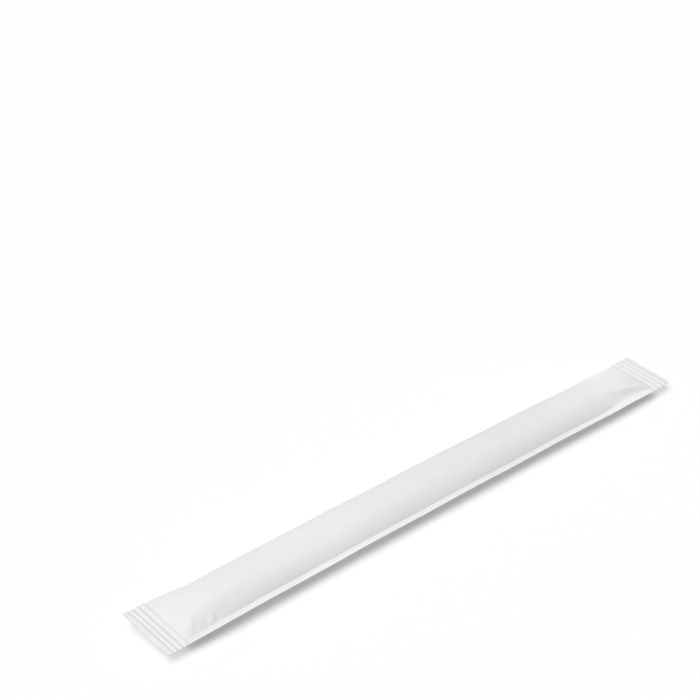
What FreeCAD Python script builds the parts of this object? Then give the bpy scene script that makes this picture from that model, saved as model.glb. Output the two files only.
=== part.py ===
import FreeCAD
import Part

import math
import os

# A drinking straw sealed in a flat paper sleeve, lying on its belly.
# X runs along the sleeve, from the near end to the far end. +Y is the folded long edge and
# -Y the glued one. Z = 0 is the surface that the sleeve lies on, under the middle of its length.

# Driving dimensions of the paper sleeve, in millimetres
sleeve_length = 238.0
flat_width = 24.9
ply_thickness = 0.1
side_seam_width = 2.4

# Driving dimensions of what the sleeve holds
straw_diameter = 8.0
straw_slack = 0.2

# How far the paper runs from each end seal before it lies over the whole straw
near_slack_length = 24.0
far_slack_length = 29.0

# How the far end is gathered: the width that the gather takes up, and how much it widens the flat
# strip beside the seam
far_gather = 2.0
far_strip_widening = 2.4

# Crimped end seals: length, groove lines measured in from the end edge, and depth of the crimp
near_seal_length = 8.4
far_seal_length = 8.6
near_groove_lines = (2.2, 4.0, 6.0)
far_groove_lines = (1.4, 3.9, 6.2)
crimp_depth = 0.3

# How far the slope beside the seam and the slope beside the fold reach, as shares of the body's
# width. The upper paper is steeper at the seam, and the belly lies evenly under the straw.
top_seam_slope = 0.16
top_fold_slope = 0.42
belly_seam_slope = 0.30
belly_fold_slope = 0.26

# How far the belly is pressed in by the surface that it rests on
belly_press = 0.2

# Stations along each slack end, and the accuracy of the body's width
stations_per_end = 5
width_accuracy = 0.001

# What follows from the driving dimensions
seam_thickness = 2 * ply_thickness
body_height = straw_diameter + seam_thickness + straw_slack
seam_height = body_height / 2
top_rise = body_height - seam_height - ply_thickness
belly_rise = seam_height + belly_press - ply_thickness
near_end = -sleeve_length / 2
far_end = sleeve_length / 2
near_seal_end = near_end + near_seal_length
far_seal_end = far_end - far_seal_length
near_body_start = near_seal_end + near_slack_length
far_body_start = far_seal_end - far_slack_length
far_seal_width = flat_width - far_gather
crest_pull = 4.0 / 3.0


def ply_curve(x, seam_y, fold_y, level, rise, seam_slope, fold_slope):
    """The line of one ply across the sleeve, from the seam to the fold, as a cubic curve."""
    span = fold_y - seam_y
    pull = level + crest_pull * rise
    curve = Part.BezierCurve()
    curve.setPoles([
        FreeCAD.Vector(x, seam_y, level),
        FreeCAD.Vector(x, seam_y + seam_slope * span, pull),
        FreeCAD.Vector(x, fold_y - fold_slope * span, pull),
        FreeCAD.Vector(x, fold_y, level),
    ])
    return curve


def width_missed(span, rise, ply_width):
    """How much longer the upper ply is over this span than its own flat width."""
    return ply_curve(0, 0, span, 0, rise, top_seam_slope, top_fold_slope).length() - ply_width


def body_span(rise, ply_width):
    """The width between seam and fold at which a ply with this rise keeps its own flat width."""
    span = ply_width
    miss = width_missed(span, rise, ply_width)
    while abs(miss) > width_accuracy:
        span = span - miss / 2
        miss = width_missed(span, rise, ply_width)
    return span


def section(x, share, gathered, strip_width):
    """The sleeve's outline at one station. Share 0 is flat, and share 1 lies over the straw."""
    span = body_span(share * top_rise, flat_width - gathered - strip_width)
    outer_y = -(span + strip_width) / 2
    seam_y = outer_y + strip_width
    fold_y = seam_y + span
    top = seam_height + ply_thickness
    bottom = seam_height - ply_thickness
    upper = ply_curve(x, seam_y, fold_y, top, share * top_rise, top_seam_slope, top_fold_slope)
    lower = ply_curve(x, seam_y, fold_y, bottom, -share * belly_rise, belly_seam_slope, belly_fold_slope)
    edges = [
        Part.LineSegment(FreeCAD.Vector(x, outer_y, bottom), FreeCAD.Vector(x, outer_y, top)).toShape(),
        Part.LineSegment(FreeCAD.Vector(x, outer_y, top), FreeCAD.Vector(x, seam_y, top)).toShape(),
        upper.toShape(),
        Part.LineSegment(FreeCAD.Vector(x, fold_y, top), FreeCAD.Vector(x, fold_y, bottom)).toShape(),
        lower.toShape(),
        Part.LineSegment(FreeCAD.Vector(x, seam_y, bottom), FreeCAD.Vector(x, outer_y, bottom)).toShape(),
    ]
    return Part.Wire(Part.__sortEdges__(edges))


def slack_end(seal_x, body_x, gather, strip_widening):
    """The paper between an end seal and the straw, which rises at the seal and then levels out."""
    wires = []
    for step in range(stations_per_end):
        way = step / (stations_per_end - 1)
        share = math.sin(way * math.pi / 2)
        strip_width = side_seam_width + strip_widening * math.sin(way * math.pi)
        wires.append(section(seal_x + way * (body_x - seal_x), share, gather * (1 - way), strip_width))
    return Part.makeLoft(wires, True)


def straight_body():
    """The even stretch over the straw."""
    ends = [section(near_body_start, 1, 0, side_seam_width), section(far_body_start, 1, 0, side_seam_width)]
    return Part.makeLoft(ends, True, True)


def crimp_line(edge_x, seal_x, width, groove_lines, level):
    """One side of an end seal, lengthwise: a flat strip, then a rounded rib from each groove to the next."""
    inward = math.copysign(1, seal_x - edge_x)

    def point(way, lift):
        return FreeCAD.Vector(edge_x + inward * way, -width / 2, level + lift)

    seal_length = abs(seal_x - edge_x)
    depth = crimp_depth / 2
    edges = [Part.LineSegment(point(0, 0), point(groove_lines[0], -depth)).toShape()]
    for groove, next_groove in zip(groove_lines, groove_lines[1:]):
        crest = point((groove + next_groove) / 2, depth)
        edges.append(Part.Arc(point(groove, -depth), crest, point(next_groove, -depth)).toShape())
    crest = point((groove_lines[-1] + seal_length) / 2, depth)
    edges.append(Part.Arc(point(groove_lines[-1], -depth), crest, point(seal_length, 0)).toShape())
    return edges


def end_seal(edge_x, seal_x, width, groove_lines):
    """A flat end of both plies, pressed into crimps that run across the sleeve."""
    top = crimp_line(edge_x, seal_x, width, groove_lines, seam_height + ply_thickness)
    bottom = crimp_line(edge_x, seal_x, width, groove_lines, seam_height - ply_thickness)
    outer = Part.LineSegment(top[0].firstVertex().Point, bottom[0].firstVertex().Point).toShape()
    inner = Part.LineSegment(top[-1].lastVertex().Point, bottom[-1].lastVertex().Point).toShape()
    face = Part.Face(Part.Wire(Part.__sortEdges__(top + bottom + [outer, inner])))
    return face.extrude(FreeCAD.Vector(0, width, 0))


def wrapped_straw():
    """The whole sealed sleeve as one closed solid, cut level where its belly rests."""
    sleeve = straight_body().multiFuse([
        slack_end(near_seal_end, near_body_start, 0, 0),
        slack_end(far_seal_end, far_body_start, far_gather, far_strip_widening),
        end_seal(near_end, near_seal_end, flat_width, near_groove_lines),
        end_seal(far_end, far_seal_end, far_seal_width, far_groove_lines),
    ])
    corner = FreeCAD.Vector(near_end, -flat_width / 2, -body_height)
    below = Part.makeBox(sleeve_length, flat_width, body_height, corner)
    return sleeve.cut(below).removeSplitter()


os.makedirs("parts", exist_ok=True)
straw = wrapped_straw()
straw.exportStep("parts/wrapped_straw.step")
box = straw.optimalBoundingBox()
print("solids", len(straw.Solids), "valid", straw.isValid(), "faces", len(straw.Faces))
print("size", round(box.XLength, 3), round(box.YLength, 3), round(box.ZLength, 3), "lowest", round(box.ZMin, 3))
print("volume in cubic centimetres", round(straw.Volume / 1000, 3))
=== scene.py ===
import math

import bpy
import numpy as np
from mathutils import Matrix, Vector


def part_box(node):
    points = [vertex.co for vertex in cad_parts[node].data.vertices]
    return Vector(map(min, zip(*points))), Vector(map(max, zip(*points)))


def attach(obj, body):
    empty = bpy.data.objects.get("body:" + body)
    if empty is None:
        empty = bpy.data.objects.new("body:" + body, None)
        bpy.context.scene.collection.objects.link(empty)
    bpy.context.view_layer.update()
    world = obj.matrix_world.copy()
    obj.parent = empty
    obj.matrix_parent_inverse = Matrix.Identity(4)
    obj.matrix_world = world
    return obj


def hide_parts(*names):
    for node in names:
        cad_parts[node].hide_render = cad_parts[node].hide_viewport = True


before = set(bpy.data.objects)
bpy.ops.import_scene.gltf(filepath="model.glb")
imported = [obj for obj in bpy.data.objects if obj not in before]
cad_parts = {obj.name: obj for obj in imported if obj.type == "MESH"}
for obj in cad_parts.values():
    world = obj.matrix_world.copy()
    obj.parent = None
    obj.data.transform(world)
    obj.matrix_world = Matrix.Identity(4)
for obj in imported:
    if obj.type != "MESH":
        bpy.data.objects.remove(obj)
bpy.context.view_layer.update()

# The sleeve lies along X, with its near end at -X, its folded edge at +Y and its glued edge at -Y.
# Sizes below are in millimetres, and stations are measured along the sleeve from its near end.
# A plan is a row of (station, value) points, with straight lines between them that are then rounded.
MM = 0.001
node_low, node_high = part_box("wrapped_straw")
sleeve_length = (node_high[0] - node_low[0]) / MM
body_height = (node_high[2] - node_low[2]) / MM
seam_height = body_height / 2
ply_thickness = 0.1
seam_width = 2.25

# Where the crimped ends stop and the paper lies over the whole straw
near_seal_length = 8.4
far_seal_length = 8.6
near_slack_length = 24.0
far_slack_length = 31.0

# Plan of the sleeve: (station, distance from the middle line) along the folded and the glued edge
fold_plan = ((0, 12.4), (8, 12.2), (16, 11.2), (23, 10.05), (40, 10.3), (60, 10.3), (115, 10.6),
             (165, 10.55), (205, 10.35), (222, 10.05), (226, 10.15), (229, 11.0), (238, 11.0))
glued_plan = ((0, 12.4), (5, 12.3), (10, 12.2), (70, 12.3), (140, 12.35), (200, 12.15),
              (227, 11.85), (233, 11.8), (238, 11.0))
plan_rounding = 5.0
fold_rounding = 2.0

# How far the sleeve is bowed in plan, how much each end is cut askew, and how far in that reaches
bow = 1.2
near_skew = math.radians(2.5)
far_skew = math.radians(-1.5)
skew_reach = 40.0

# How each end is twisted, its glued edge drooping and its folded edge lifted: the height from the one
# to the other, how much of it is lift, and how far each millimetre of it draws the paper along and across
end_twist = ((0, 1.9), (8.4, 1.4), (24, 0.0), (210, 0.0), (229.4, 1.4), (238, 1.9))
lifted_share = 0.5
drawn_along = ((0, 0.51), (24, 0.55), (210, 1.2), (238, 1.26))
drawn_across = 0.94

# Section of the body: where its crest is, from 0 at the foot of its slope to 1 at the fold, how much fuller
# than a circular arc its slopes are, and how far the belly is pressed in
crest_plan = ((0, 0.05), (11, 0.12), (12.5, 0.18), (14.5, 0.25), (20, 0.3), (28, 0.345), (42, 0.41),
              (60, 0.43), (203, 0.42), (208, 0.32), (212, 0.255), (215, 0.205), (218.6, 0.17),
              (221.5, 0.135), (224.5, 0.09), (226.5, 0.055), (228, 0.03), (238, 0.03))
arc_fullness = 0.93
belly_press = 0.25

# The share of its full rise that the upper and the lower paper have at each end, how the upper paper's
# lines are rounded, and the least height that a slope is worked out for
near_top_rise = ((8.4, 0.0), (11, 0.27), (14, 0.52), (18, 0.76), (24, 0.93), (31, 1.0))
near_low_rise = ((11, 0.0), (38, 1.0))
far_top_rise = ((198.4, 1.0), (208, 0.9), (212, 0.82), (215, 0.76), (218.6, 0.66), (221.5, 0.52),
                (224.5, 0.33), (226.5, 0.18), (229.4, 0.0))
far_low_rise = ((192, 1.0), (225, 0.0))
rise_rounding = 3.0
least_rise = 0.001

# How much the slope beside the seam is a creased line, at 1, and not an arc, at 0, with the power that
# softens the line's foot, and how softly it starts at the crest
crease_plan = ((0, 0.6), (14, 0.8), (24, 0.8), (32, 0.35), (42, 0.0), (203, 0.0), (209, 0.7), (213, 1.0),
               (238, 1.0))
foot_softness = ((0, 1.0), (100, 1.0), (203, 1.6), (238, 1.6))
crest_softness = 0.2

# How much higher the folded edge lies than the seam where the paper is slack, and the share of the upper
# paper's rise that this may reach
fold_lift = ((0, 0.0), (9, 0.0), (20, 0.4), (55, 0.35), (100, 0.0), (205, 0.0), (214, 0.3), (224, 0.3),
             (229, 0.0))
most_fold_lift = 0.6

# The flat strip between the seam and the foot of the body's slope, widest where the far end is gathered
foot_plan = ((0, 0.0), (201, 0.0), (208, 0.4), (215, 0.5), (221, 0.3), (228, 0.0), (238, 0.0))

# Crimped ends: (distance from the end, height against the seam plane as a share of the crimp's depth) of
# grooves and ribs
crimp_depth = 0.48
near_crimp = ((0.0, 0.5), (1.0, 0.3), (1.75, 0.3), (2.6, -0.5), (3.35, 0.45), (4.2, -0.5), (5.3, 0.5),
              (6.15, -0.5), (7.6, 0.4), (8.55, -0.3), (9.3, 0.0))
far_crimp = ((0.0, -0.15), (1.4, -0.4), (2.6, 0.5), (3.9, -0.4), (4.9, 0.45), (6.2, -0.4), (7.4, 0.5),
             (8.6, -0.4), (9.7, 0.0))
crimp_rounding = 0.3

# Soft dents and swellings of the upper paper, where it is gathered into the seals and along the seam:
# (station, y, length, width, turn in degrees, height)
swellings = (
    (12.8, -4.2, 3.4, 2.6, 100, 0.16), (19.9, -8.3, 1.8, 0.9, 72, 0.25), (45.3, -7.8, 2.2, 1.2, 80, 0.10),
    (219.0, -0.6, 7.0, 2.6, 0, 0.14),
)
dents = (
    (17.6, -8.5, 1.4, 0.8, 66, 0.16), (13.6, -8.4, 1.6, 0.7, 55, 0.12), (16.6, -4.5, 2.6, 0.6, 36, 0.09),
    (21.6, -9.1, 1.0, 0.7, 80, 0.16), (216.0, 4.0, 4.6, 2.0, 8, 0.16), (226.5, 8.2, 3.0, 1.5, -20, 0.20),
    (31.5, -9.1, 1.3, 0.6, 95, 0.12), (62.0, -9.1, 1.5, 0.5, 80, 0.10), (96.0, -9.2, 1.4, 0.5, 92, 0.10),
    (131.0, -9.3, 1.6, 0.5, 85, 0.10), (159.0, -9.2, 1.4, 0.5, 95, 0.10), (183.6, -9.0, 1.6, 0.6, 80, 0.12),
    (196.9, -8.4, 2.0, 0.7, 70, 0.12),
)

# How these set in: the distance that they take beyond a seal, and how steeply they grow from the seam and
# from the fold, in full heights for the whole width between the two
seal_onset = 2.0
seam_onset = 30.0
fold_onset = 6.0

# Places along the near end where the strip outside the first groove is tipped up: (y, width, height),
# and how that height runs inward from the edge
tipped_places = ((2.3, 1.3, 0.55), (-3.8, 1.5, 0.6), (8.6, 1.1, 0.14), (-9.4, 1.6, 0.2))
tip_line = ((0, -0.5), (1.4, 0.5), (2.3, 0.0))

# Faint unevenness: (length of wave along, length of wave across, height) for the body's upper paper, the
# same without the length across for the seam strip, and the share of the near slack length before it starts
body_waves = ((61.0, 37.0, 0.10), (23.0, -31.0, 0.035), (13.7, 17.0, 0.016), (8.3, -9.1, 0.008))
seam_waves = ((47.0, 0.10), (19.0, 0.03), (1.45, 0.006))
waves_start = 0.3

# Mesh spacing along the sleeve: at the crimps, at the slack ends and over the straw
crimp_spacing = 0.12
slack_spacing = 0.32
body_spacing = 0.65

# Mesh lines across: on the seam strip and on the body, where the power crowds them towards the seam
strip_columns = 9
body_columns = 60
crowding = 1.3

# How finely the corners of plans are rounded: the places that are averaged, and the least weight of one
rounding_steps = 9
least_weight = 0.05

# The seam's outer rim: a thin line whose colour is painted lighter than the rest, a painted highlight where
# the paper's cut edge catches light
rim_width = 0.35

# Painted light along the sleeve: (station, share of the paper's colour). The paper is painted lighter at the
# near end and over the far slack, standing in for more light falling there, and a little darker at the far
# tip
painted_light_plan = ((0, 1.03), (3, 1.01), (14, 1.01), (22, 1.015), (40, 1.02), (65, 1.03), (105, 1.0), (195, 1.0),
             (211, 1.055), (219, 1.065), (226, 1.06), (229, 1.0), (238, 0.985))

# Paper: the darkest and the lightest tone of its faint clouds, how much more red and less blue than green
# they hold, its dullness and gloss, and the share of light that falls through one ply of the end seals
paper_tones = (0.805, 0.845)
# Painted highlight: the lighter tones of the seam's rim, where its cut edge catches light
rim_highlight_tones = (0.93, 0.96)
more_red = 0.004
less_blue = 0.005
paper_roughness = 0.85
paper_gloss = 0.3
seal_sheerness = 0.60

# Noise for the clouds and for the fibres, in waves to the metre, and how deep the fibres look
cloud_scale = 160
cloud_detail = 4
fibre_scale = 1800
fibre_detail = 5
fibre_strength = 0.35
fibre_height = 0.03

# Places of the sleeve's materials in its list
paper_slot, rim_highlight_slot, seal_slot = 0, 1, 2

# Light: an even sky and a soft lamp, high on the photograph's left and a little towards the camera. The lamp
# gives this share of the light on level ground, leans this far from upright, and is this wide.
lamp_share = 0.72
lamp_tilt = math.radians(20)
lamp_spread = math.radians(58)
lamp_from = Vector((-1, 0.24, 0))

# Floor: its half width, how much light it throws back, how white it looks to the camera, and how much of
# that look is plain white that no shadow darkens
floor_reach = 3000.0
floor_bounce = 0.85
floor_white = 0.99
backdrop_share = 0.15

# Camera: where the photograph was taken from, its aim, its lens and frame, and the range that it sees
camera_place = Vector((-280.3, -296.8, 320.5))
camera_aim = Vector((0.5368, 0.6509, -0.5369))
camera_lens = 74.0
frame_width = 36.0
nearest_seen = 10.0
farthest_seen = 20000.0


def rounded_line(points, at, rounding):
    """Values of a line through the points, with its corners rounded over that distance."""
    stations, values = np.array(points, float).T
    total = np.zeros_like(at)
    weights = 0
    for step in np.linspace(-1, 1, rounding_steps):
        weight = math.cos(step * math.pi / 2) ** 2 + least_weight
        total += weight * np.interp(at + step * rounding / 2, stations, values)
        weights += weight
    return total / weights


def soft_spots(spots, station, y):
    """Height of rounded spots, each longer along its own turned axis."""
    total = np.zeros_like(station)
    for at, side, length, width, turn, height in spots:
        c = math.cos(math.radians(turn))
        s = math.sin(math.radians(turn))
        along = ((station - at) * c + (y - side) * s) / length
        across = ((y - side) * c - (station - at) * s) / width
        total += height * np.exp(-along ** 2 - across ** 2)
    return total


def station_lines():
    """Stations of the mesh's cross lines, closest together at the crimps."""
    near_body_start = near_seal_length + near_slack_length
    far_seal_start = sleeve_length - far_seal_length
    far_body_start = far_seal_start - far_slack_length
    stops = (0, near_seal_length, near_body_start, far_body_start, far_seal_start, sleeve_length)
    spacings = (crimp_spacing, slack_spacing, body_spacing, slack_spacing, crimp_spacing)
    lines = [np.array([0.0])]
    for start, end, spacing in zip(stops, stops[1:], spacings):
        count = max(2, round((end - start) / spacing))
        lines.append(np.linspace(start, end, count + 1)[1:])
    return np.concatenate(lines)


def top_share(station):
    """How much of its full rise the upper paper has, from 0 at the end seals to 1 over the straw."""
    near = rounded_line(near_top_rise, station, rise_rounding)
    return np.minimum(near, rounded_line(far_top_rise, station, rise_rounding))


def low_share(station):
    """The same for the lower paper."""
    near = rounded_line(near_low_rise, station, plan_rounding)
    return np.minimum(near, rounded_line(far_low_rise, station, plan_rounding))


def crimp_height(station):
    """Height of the crimped ends against the seam plane."""
    near = rounded_line(near_crimp, station, crimp_rounding)
    far = rounded_line(far_crimp, sleeve_length - station, crimp_rounding)
    return crimp_depth * (near + far)


def arc_share(distance, extent, rise):
    """Height of a circular arc that falls by the rise over the extent, at a distance from its crest."""
    radius = (extent ** 2 + rise ** 2) / (2 * rise)
    return np.sqrt(np.maximum(radius ** 2 - distance ** 2, 0)) - (radius - rise)


def dome_height(y, foot_y, crest_y, fold_y, rise, lift, crease=0, softness=1):
    """Height of the paper over the straw: one slope from the foot to the crest, one from there to the fold.
    The lift is the height of the fold, and the foot's slope may be creased, with a soft foot."""
    by_fold = y > crest_y
    extent = np.where(by_fold, fold_y - crest_y, crest_y - foot_y)
    distance = np.minimum(np.abs(y - crest_y), extent)
    base = np.where(by_fold, lift, 0)
    drop = np.maximum(rise - base, least_rise)
    arc = np.power(np.clip(arc_share(distance, extent, drop) / drop, 0, 1), arc_fullness)
    way = np.hypot(distance / extent, crest_softness) - crest_softness
    whole_way = math.hypot(1, crest_softness) - crest_softness
    creased = np.power(np.clip(1 - way / whole_way, 0, 1), softness)
    return base + drop * np.where(by_fold, arc, arc + crease * (creased - arc))


def tipped_strip(station, y):
    """Height of the near end's outer strip where it is tipped up."""
    tip = rounded_line(tip_line, station, crimp_rounding)
    return tip * sum(height * np.exp(-((y - side) / width) ** 2) for side, width, height in tipped_places)


def inner_share(on_body):
    """1 midway between the seam and the fold, and 0 at both."""
    return np.clip(4 * on_body * (1 - on_body), 0, 1)


def unevenness(station, y, on_body):
    """Faint waves, of the body's upper paper and of the seam strip."""
    body = sum(height * np.sin(2 * math.pi * (station / along + y / across) + along)
               for along, across, height in body_waves)
    strip = sum(height * np.sin(2 * math.pi * station / along + along) for along, height in seam_waves)
    from_end = np.minimum(station, sleeve_length - station)
    inside = np.clip(from_end / near_slack_length - waves_start, 0, 1)
    inner = inner_share(on_body)
    return inside * (body * inner + strip * (1 - inner))


def relief_height(station, y, on_body):
    """Height of the swellings and dents, which fade out at the seals, at the seam and at the fold."""
    relief = soft_spots(swellings, station, y) - soft_spots(dents, station, y)
    past_seal = np.minimum(station - near_seal_length, sleeve_length - far_seal_length - station)
    relief = relief * np.clip(past_seal / seal_onset, 0, 1)
    relief = relief * np.clip(seam_onset * on_body, 0, 1)
    return relief * np.clip(fold_onset * (1 - on_body), 0, 1)


def twisted(station, y, glued_y, fold_y, top, low):
    """Grids of X, Y and both heights, once the ends are askew and twisted and the sleeve is bowed."""
    skew = near_skew * np.clip(1 - station / skew_reach, 0, 1)
    skew = skew + far_skew * np.clip(1 - (sleeve_length - station) / skew_reach, 0, 1)
    glued_share = (fold_y - y) / (fold_y - glued_y)
    droop = rounded_line(end_twist, station, plan_rounding) * (glued_share - lifted_share)
    along = rounded_line(drawn_along, station, plan_rounding)
    x = station - sleeve_length / 2 - y * np.tan(skew) + droop * along
    way = 2 * station / sleeve_length - 1
    y = y + bow * (0.5 - way ** 2) + drawn_across * droop
    return x, y, top - droop, np.maximum(low - droop, 0)


def sleeve_surface():
    """Grids of X, Y and of the heights of the upper and lower paper."""
    stations = station_lines()
    strip = np.concatenate([[0], np.linspace(rim_width / seam_width, 1, strip_columns)])
    across = np.concatenate([strip - 1, np.linspace(0, 1, body_columns + 1)[1:] ** crowding])
    station, lane = np.meshgrid(stations, across, indexing="ij")
    glued_y = -rounded_line(glued_plan, station, plan_rounding)
    fold_y = rounded_line(fold_plan, station, fold_rounding)
    seam_y = glued_y + seam_width
    on_body = np.clip(lane, 0, 1)
    y = np.where(lane < 0, seam_y + lane * seam_width, seam_y + on_body * (fold_y - seam_y))
    foot_y = seam_y + rounded_line(foot_plan, station, plan_rounding)
    crest_y = foot_y + rounded_line(crest_plan, station, plan_rounding) * (fold_y - foot_y)
    top_rise = (body_height - seam_height - ply_thickness) * top_share(station)
    low_rise = (seam_height - ply_thickness + belly_press) * low_share(station)
    lift = np.minimum(rounded_line(fold_lift, station, plan_rounding), most_fold_lift * top_rise)
    crease = rounded_line(crease_plan, station, plan_rounding)
    softness = rounded_line(foot_softness, station, plan_rounding)
    shared = crimp_height(station) + tipped_strip(station, y)
    waves = unevenness(station, y, on_body)
    top = seam_height + ply_thickness + shared + relief_height(station, y, on_body) + waves
    top = top + dome_height(y, foot_y, crest_y, fold_y, top_rise, lift, crease, softness)
    middle_y = (seam_y + fold_y) / 2
    low = seam_height - ply_thickness + shared - dome_height(y, seam_y, middle_y, fold_y, low_rise, -lift)
    low = np.maximum(low + waves * (1 - inner_share(on_body)), 0)
    return twisted(station, y, glued_y, fold_y, top, low)


def face_materials(x, rows, columns):
    """The material of every face, in the order in which the mesh lists its faces."""
    station = x[:-1, 0] + sleeve_length / 2
    sealed = (station <= near_seal_length) | (station >= sleeve_length - far_seal_length)
    skin = np.full((rows - 1, columns - 1, 2), paper_slot)
    # The outer line of the seam strip takes the rim's painted highlight
    skin[:, 0, 0] = rim_highlight_slot
    skin[sealed] = seal_slot
    sides = np.full((rows - 1, 2), paper_slot)
    # The cut edge along the seam takes the same painted highlight
    sides[:, 0] = rim_highlight_slot
    sides[sealed] = seal_slot
    ends = np.full(2 * (columns - 1), seal_slot)
    return np.concatenate([skin.reshape(-1), sides.reshape(-1), ends])


def sleeve_mesh():
    """The sleeve's skin as one closed mesh: upper paper, lower paper and the cut edges between them."""
    x, y, top, low = sleeve_surface()
    rows, columns = x.shape
    upper = np.stack([x, y, top], -1).reshape(-1, 3) * MM
    lower = np.stack([x, y, low], -1).reshape(-1, 3) * MM
    points = np.concatenate([upper, lower])
    index = np.arange(rows * columns).reshape(rows, columns)
    under = index + rows * columns
    faces = []
    for r in range(rows - 1):
        for c in range(columns - 1):
            faces.append((index[r, c], index[r + 1, c], index[r + 1, c + 1], index[r, c + 1]))
            faces.append((under[r, c], under[r, c + 1], under[r + 1, c + 1], under[r + 1, c]))
    for r in range(rows - 1):
        faces.append((index[r, 0], under[r, 0], under[r + 1, 0], index[r + 1, 0]))
        faces.append((index[r, -1], index[r + 1, -1], under[r + 1, -1], under[r, -1]))
    for c in range(columns - 1):
        faces.append((index[0, c], index[0, c + 1], under[0, c + 1], under[0, c]))
        faces.append((index[-1, c], under[-1, c], under[-1, c + 1], index[-1, c + 1]))
    mesh = bpy.data.meshes.new("paper_sleeve")
    mesh.from_pydata(points.tolist(), [], [tuple(int(i) for i in face) for face in faces])
    mesh.polygons.foreach_set("use_smooth", [True] * len(mesh.polygons))
    border = set()
    for grid in (index, under):
        border.update(zip(grid[:-1, 0], grid[1:, 0]))
        border.update(zip(grid[0, :-1], grid[0, 1:]))
        border.update(zip(grid[-1, :-1], grid[-1, 1:]))
    for edge in mesh.edges:
        a, b = sorted(edge.vertices)
        edge.use_edge_sharp = (a, b) in border
    mesh.polygons.foreach_set("material_index", face_materials(x, rows, columns))
    mesh.update()
    return mesh


def colour_mix(nodes, first, second):
    """A node that goes from the first colour to the second with its Factor. Its output 2 is the colour."""
    mix = nodes.new("ShaderNodeMix")
    mix.data_type = "RGBA"
    mix.inputs[6].default_value = first
    mix.inputs[7].default_value = second
    return mix


def painted_light_nodes(nodes, links, place):
    """A curve along the sleeve that gives the share of painted light, by which the paper's colour is scaled,
    at each place.
    """
    axes = nodes.new("ShaderNodeSeparateXYZ")
    way = nodes.new("ShaderNodeMapRange")
    way.inputs["From Min"].default_value = -sleeve_length / 2 * MM
    way.inputs["From Max"].default_value = sleeve_length / 2 * MM
    curve = nodes.new("ShaderNodeFloatCurve")
    curve.mapping.use_clip = False
    line = curve.mapping.curves[0]
    line.points[0].location = (0, painted_light_plan[0][1])
    line.points[1].location = (1, painted_light_plan[-1][1])
    for station, share in painted_light_plan[1:-1]:
        line.points.new(station / sleeve_length, share)
    curve.mapping.update()
    links.new(place.outputs["Object"], axes.inputs["Vector"])
    links.new(axes.outputs["X"], way.inputs["Value"])
    links.new(way.outputs["Result"], curve.inputs["Value"])
    return curve


def paper_material(name, tones, sheerness=0):
    """Matte white wrapping paper, with faint clouds in its colour, painted light along the sleeve that
    lightens or darkens that colour, and fibres in its surface.
    Sheer paper lets that share of the light through each ply, onto what lies below, but looks solid to the
    camera."""
    material = bpy.data.materials.new(name)
    material.use_nodes = True
    nodes = material.node_tree.nodes
    links = material.node_tree.links
    shader = nodes["Principled BSDF"]
    shader.inputs["Roughness"].default_value = paper_roughness
    shader.inputs["Specular IOR Level"].default_value = paper_gloss
    place = nodes.new("ShaderNodeTexCoord")
    clouds = nodes.new("ShaderNodeTexNoise")
    clouds.inputs["Scale"].default_value = cloud_scale
    clouds.inputs["Detail"].default_value = cloud_detail
    tint = colour_mix(nodes, *[(tone + more_red, tone, tone - less_blue, 1) for tone in tones])
    links.new(place.outputs["Object"], clouds.inputs["Vector"])
    links.new(clouds.outputs["Fac"], tint.inputs["Factor"])
    # Painted light: the colour is scaled along the sleeve, lighter at the near end and far slack, darker at
    # the far tip
    painted_light_scale = nodes.new("ShaderNodeVectorMath")
    painted_light_scale.operation = "SCALE"
    links.new(tint.outputs[2], painted_light_scale.inputs[0])
    links.new(painted_light_nodes(nodes, links, place).outputs["Value"], painted_light_scale.inputs["Scale"])
    links.new(painted_light_scale.outputs["Vector"], shader.inputs["Base Color"])
    fibres = nodes.new("ShaderNodeTexNoise")
    fibres.inputs["Scale"].default_value = fibre_scale
    fibres.inputs["Detail"].default_value = fibre_detail
    bump = nodes.new("ShaderNodeBump")
    bump.inputs["Strength"].default_value = fibre_strength
    bump.inputs["Distance"].default_value = fibre_height * MM
    links.new(place.outputs["Object"], fibres.inputs["Vector"])
    links.new(fibres.outputs["Fac"], bump.inputs["Height"])
    links.new(bump.outputs["Normal"], shader.inputs["Normal"])
    if sheerness:
        path = nodes.new("ShaderNodeLightPath")
        passing = nodes.new("ShaderNodeMapRange")
        passing.inputs["To Min"].default_value = sheerness
        passing.inputs["To Max"].default_value = 0
        clear = nodes.new("ShaderNodeBsdfTransparent")
        mix = nodes.new("ShaderNodeMixShader")
        links.new(path.outputs["Is Camera Ray"], passing.inputs["Value"])
        links.new(passing.outputs["Result"], mix.inputs["Fac"])
        links.new(shader.outputs["BSDF"], mix.inputs[1])
        links.new(clear.outputs["BSDF"], mix.inputs[2])
        links.new(mix.outputs["Shader"], nodes["Material Output"].inputs["Surface"])
    return material


def add_sleeve():
    """The sleeve with its three materials, in place of the plain solid."""
    sleeve = bpy.data.objects.new("paper_sleeve", sleeve_mesh())
    bpy.context.scene.collection.objects.link(sleeve)
    sleeve.data.materials.append(paper_material("sleeve_paper", paper_tones))
    # The rim's material carries the painted highlight along the seam's cut edge
    sleeve.data.materials.append(paper_material("sleeve_paper_rim_highlight", rim_highlight_tones))
    sleeve.data.materials.append(paper_material("sleeve_paper_ends", paper_tones, seal_sheerness))
    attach(sleeve, "root")
    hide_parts("wrapped_straw")


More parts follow.
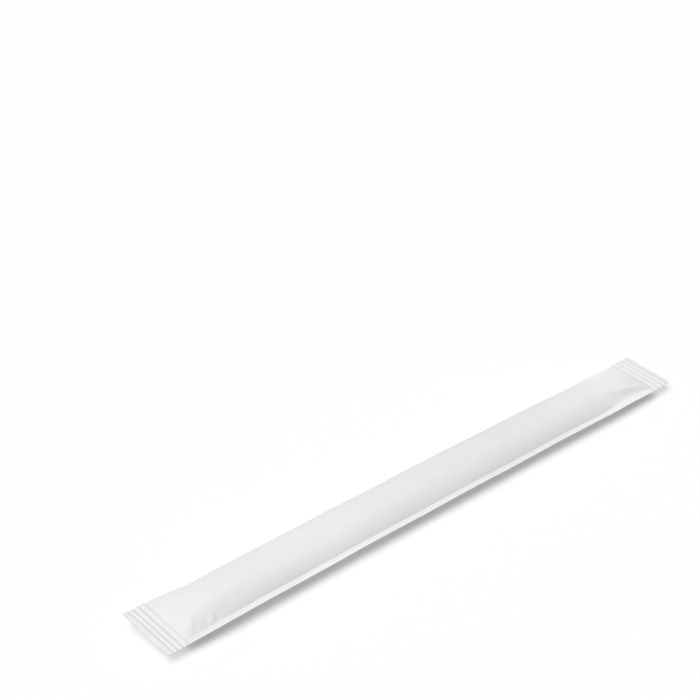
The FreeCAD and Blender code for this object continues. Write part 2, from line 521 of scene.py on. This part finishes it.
def add_light():
    """The sky, which the camera sees as plain white, and the soft lamp."""
    scene = bpy.context.scene
    world = bpy.data.worlds.new("sky")
    scene.world = world
    world.use_nodes = True
    nodes = world.node_tree.nodes
    links = world.node_tree.links
    sky = nodes["Background"]
    sky.inputs["Color"].default_value = (1, 1, 1, 1)
    sky.inputs["Strength"].default_value = 1 - lamp_share
    seen = nodes.new("ShaderNodeBackground")
    seen.inputs["Color"].default_value = (1, 1, 1, 1)
    seen.inputs["Strength"].default_value = 1
    path = nodes.new("ShaderNodeLightPath")
    mix = nodes.new("ShaderNodeMixShader")
    links.new(path.outputs["Is Camera Ray"], mix.inputs["Fac"])
    links.new(sky.outputs["Background"], mix.inputs[1])
    links.new(seen.outputs["Background"], mix.inputs[2])
    links.new(mix.outputs["Shader"], nodes["World Output"].inputs["Surface"])

    lamp = bpy.data.lights.new("soft_lamp", "SUN")
    lamp.energy = math.pi * lamp_share / math.cos(lamp_tilt)
    lamp.angle = lamp_spread
    holder = bpy.data.objects.new("soft_lamp", lamp)
    towards = lamp_from.normalized() * math.sin(lamp_tilt) + Vector((0, 0, math.cos(lamp_tilt)))
    holder.rotation_mode = "QUATERNION"
    holder.rotation_quaternion = towards.to_track_quat("Z", "Y")
    scene.collection.objects.link(holder)


def add_floor():
    """A plain floor that keeps the shadow and otherwise looks white to the camera."""
    reach = floor_reach * MM
    mesh = bpy.data.meshes.new("floor")
    corners = [(-reach, -reach, 0), (reach, -reach, 0), (reach, reach, 0), (-reach, reach, 0)]
    mesh.from_pydata(corners, [], [(0, 1, 2, 3)])
    floor = bpy.data.objects.new("floor", mesh)
    bpy.context.scene.collection.objects.link(floor)
    material = bpy.data.materials.new("floor")
    material.use_nodes = True
    nodes = material.node_tree.nodes
    links = material.node_tree.links
    shader = nodes["Principled BSDF"]
    shader.inputs["Roughness"].default_value = 1
    shader.inputs["Specular IOR Level"].default_value = 0
    path = nodes.new("ShaderNodeLightPath")
    tint = colour_mix(nodes, *[(white, white, white, 1) for white in (floor_bounce, floor_white)])
    links.new(path.outputs["Is Camera Ray"], tint.inputs["Factor"])
    links.new(tint.outputs[2], shader.inputs["Base Color"])
    white = nodes.new("ShaderNodeEmission")
    white.inputs["Color"].default_value = (1, 1, 1, 1)
    white.inputs["Strength"].default_value = 1
    share = nodes.new("ShaderNodeMath")
    share.operation = "MULTIPLY"
    share.inputs[1].default_value = backdrop_share
    links.new(path.outputs["Is Camera Ray"], share.inputs[0])
    mix = nodes.new("ShaderNodeMixShader")
    links.new(share.outputs["Value"], mix.inputs["Fac"])
    links.new(shader.outputs["BSDF"], mix.inputs[1])
    links.new(white.outputs["Emission"], mix.inputs[2])
    links.new(mix.outputs["Shader"], nodes["Material Output"].inputs["Surface"])
    floor.data.materials.append(material)


def add_camera():
    """The camera, at the photograph's place."""
    camera = bpy.data.cameras.new("camera")
    camera.lens = camera_lens
    camera.sensor_width = frame_width
    camera.clip_start = nearest_seen * MM
    camera.clip_end = farthest_seen * MM
    holder = bpy.data.objects.new("camera", camera)
    holder.location = camera_place * MM
    holder.rotation_mode = "QUATERNION"
    holder.rotation_quaternion = camera_aim.to_track_quat("-Z", "Y")
    bpy.context.scene.collection.objects.link(holder)
    bpy.context.scene.camera = holder


add_camera()
add_light()
add_floor()
add_sleeve()
bpy.context.scene.view_settings.view_transform = "Standard"
